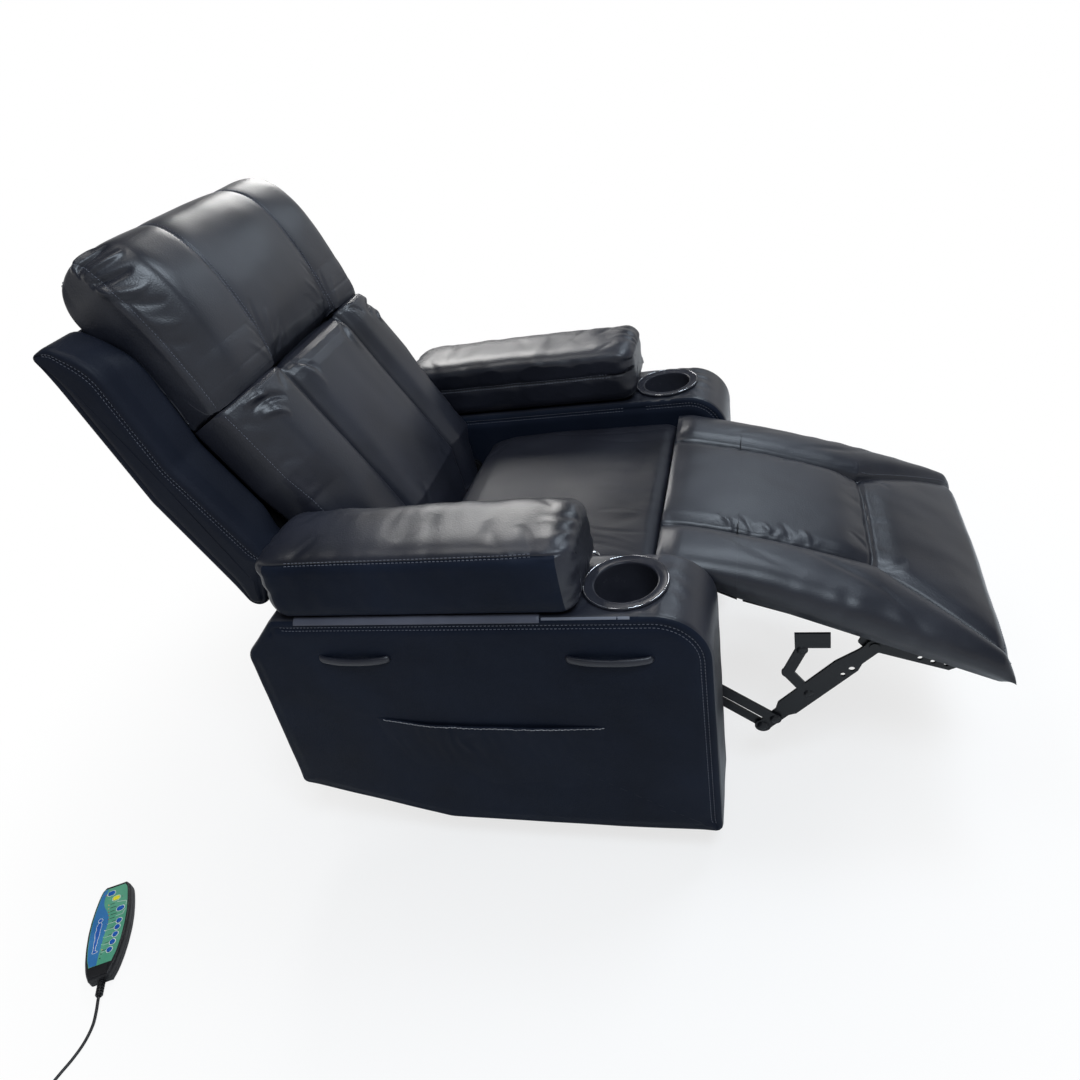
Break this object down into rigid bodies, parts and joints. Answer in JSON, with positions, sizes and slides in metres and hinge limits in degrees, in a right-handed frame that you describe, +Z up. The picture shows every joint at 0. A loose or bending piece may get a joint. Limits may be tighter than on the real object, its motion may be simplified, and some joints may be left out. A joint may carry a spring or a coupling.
{
  "type": "massage chair",
  "caption": "Reclining massage armchair with padded arms, cup holders, side pockets, linkage leg rest, swivel rocker base and corded handset.",
  "frame": {"origin": "on the floor under the middle of the swivel", "axes": "+Z up, the chair faces -Y, the sitter's right arm is on -X; rest pose is level with the leg rest out and the back laid down"},
  "size_m": [1.505, 1.5734, 1.0736],
  "materials": {
    "black_steel": "satin black paint",
    "bright_steel": "zinc plated",
    "board_wood": "raw plywood",
    "black_leather": "semi-gloss grained",
    "gloss_cup": "glossy dark grey",
    "webbing": "woven",
    "black_plastic": "matte",
    "cord_rubber": "satin",
    "handset_face": "printed film",
    "circuit_board": "solder mask",
    "lamp_lens": "clear coloured lens",
    "blue_key": "gloss",
    "yellow_key": "gloss"
  },
  "bodies": {
    "base": {"base_ring": "black_steel", "floor_glides": "black_plastic", "handset_back_shell": "black_plastic", "handset_front_shell": "black_plastic", "handset_face_panel": "handset_face", "handset_board": "circuit_board", "handset_lamps": "lamp_lens", "handset_neck_cap": "black_plastic", "strain_relief": "cord_rubber", "handset_cord": "cord_rubber", "handset_coil": "cord_rubber", "handset_plug": "black_plastic"},
    "turntable": {"swivel_plate": "black_steel", "rocker_cradle": "black_steel", "rocker_shaft": "bright_steel", "front_rocker_springs": "bright_steel", "rear_rocker_springs": "bright_steel"},
    "chassis": {"chassis_frame": "black_steel", "glide_rails": "bright_steel", "arm_frames": "board_wood", "right_arm_cover": "black_leather", "left_arm_cover": "black_leather", "right_arm_pad": "black_leather", "left_arm_pad": "black_leather", "right_cup_holder": "gloss_cup", "left_cup_holder": "gloss_cup", "right_pocket": "black_leather", "left_pocket": "black_leather", "side_loops": "black_leather"},
    "release": {"release_strap": "webbing", "release_ring": "bright_steel"},
    "seat": {"seat_frame": "board_wood", "seat_webbing": "webbing", "seat_cushion": "black_leather", "seat_motor": "black_plastic", "control_box": "black_plastic", "mechanism_plates": "black_steel", "hinge_brackets": "black_steel"},
    "back": {"back_frame": "board_wood", "back_shell": "black_leather", "back_cushion": "black_leather", "head_roll": "black_leather", "back_motors": "black_plastic"},
    "rear_link_pair": {"rear_links": "black_steel"},
    "long_link_pair": {"long_links": "black_steel"},
    "guide_link_pair": {"guide_links": "black_steel"},
    "leg_rest": {"ottoman_board": "board_wood", "ottoman_pad": "black_leather", "ottoman_brackets": "black_steel", "ottoman_motor": "black_plastic"},
    "leg_flap": {"flap_board": "board_wood", "flap_pad": "black_leather"},
    "power_button_cap": {"power_button": "blue_key"},
    "heat_button_cap": {"heat_button": "yellow_key"},
    "mode_button_cap": {"mode_button": "blue_key"},
    "zone_button_1_cap": {"zone_button_1": "blue_key"},
    "zone_button_2_cap": {"zone_button_2": "blue_key"},
    "zone_button_3_cap": {"zone_button_3": "blue_key"},
    "zone_button_4_cap": {"zone_button_4": "blue_key"},
    "zone_button_5_cap": {"zone_button_5": "blue_key"}
  },
  "joints": [
    {"name": "swivel", "type": "hinge", "parent": "base", "child": "turntable", "pos_m": [0, 0, 0.02], "axis": [0, 0, 1], "continuous": true},
    {"name": "rock", "type": "hinge", "parent": "turntable", "child": "chassis", "pos_m": [0, 0, 0.11], "axis": [1, 0, 0], "range_deg": [-12, 5], "stiffness_Nm_per_rad": 2500, "springref_deg": 1.48, "deforming": ["front_rocker_springs", "rear_rocker_springs"]},
    {"name": "seat_glide", "type": "slide", "parent": "chassis", "child": "seat", "axis": [0, 1, 0], "range_m": [-0.002, 0.062]},
    {"name": "back_recline", "type": "hinge", "parent": "seat", "child": "back", "pos_m": [0, 0.17, 0.42], "axis": [1, 0, 0], "range_deg": [0, 17]},
    {"name": "leg_rest_fold", "type": "hinge", "parent": "seat", "child": "rear_link_pair", "pos_m": [0, -0.29, 0.282], "axis": [1, 0, 0], "range_deg": [0, 47.4]},
    {"name": "long_link_turn", "type": "hinge", "parent": "rear_link_pair", "child": "long_link_pair", "pos_m": [0, -0.446, 0.158], "axis": [1, 0, 0], "range_deg": [-57, 0.5]},
    {"name": "leg_rest_turn", "type": "hinge", "parent": "long_link_pair", "child": "leg_rest", "pos_m": [0, -0.6, 0.318], "axis": [1, 0, 0], "range_deg": [-0.5, 78]},
    {"name": "flap_turn", "type": "hinge", "parent": "seat", "child": "leg_flap", "pos_m": [0, -0.29, 0.474], "axis": [1, 0, 0], "range_deg": [-0.5, 70]},
    {"name": "guide_link_turn", "type": "hinge", "parent": "seat", "child": "guide_link_pair", "pos_m": [0, -0.258, 0.272], "axis": [1, 0, 0], "range_deg": [-0.5, 44]},
    {"name": "release_pull", "type": "slide", "parent": "chassis", "child": "release", "axis": [0, 0, 1], "range_m": [0, 0.025], "stiffness_N_per_m": 400},
    {"name": "power_button_press", "type": "slide", "parent": "base", "child": "power_button_cap", "axis": [0, 0, -1], "range_m": [0, 0.0012], "stiffness_N_per_m": 500},
    {"name": "heat_button_press", "type": "slide", "parent": "base", "child": "heat_button_cap", "axis": [0, 0, -1], "range_m": [0, 0.0012], "stiffness_N_per_m": 500},
    {"name": "mode_button_press", "type": "slide", "parent": "base", "child": "mode_button_cap", "axis": [0, 0, -1], "range_m": [0, 0.0012], "stiffness_N_per_m": 500},
    {"name": "zone_button_1_press", "type": "slide", "parent": "base", "child": "zone_button_1_cap", "axis": [0, 0, -1], "range_m": [0, 0.0012], "stiffness_N_per_m": 500},
    {"name": "zone_button_2_press", "type": "slide", "parent": "base", "child": "zone_button_2_cap", "axis": [0, 0, -1], "range_m": [0, 0.0012], "stiffness_N_per_m": 500},
    {"name": "zone_button_3_press", "type": "slide", "parent": "base", "child": "zone_button_3_cap", "axis": [0, 0, -1], "range_m": [0, 0.0012], "stiffness_N_per_m": 500},
    {"name": "zone_button_4_press", "type": "slide", "parent": "base", "child": "zone_button_4_cap", "axis": [0, 0, -1], "range_m": [0, 0.0012], "stiffness_N_per_m": 500},
    {"name": "zone_button_5_press", "type": "slide", "parent": "base", "child": "zone_button_5_cap", "axis": [0, 0, -1], "range_m": [0, 0.0012], "stiffness_N_per_m": 500}
  ],
  "couplings": [
    {"joint": "seat_glide", "follows": "back_recline", "m_per_rad": 0.20222},
    {"joint": "long_link_turn", "follows": "leg_rest_fold", "ratio": -1.179},
    {"joint": "leg_rest_turn", "follows": "leg_rest_fold", "ratio": 1.622},
    {"joint": "flap_turn", "follows": "leg_rest_fold", "ratio": 1.443},
    {"joint": "guide_link_turn", "follows": "leg_rest_fold", "ratio": 0.911}
  ]
}
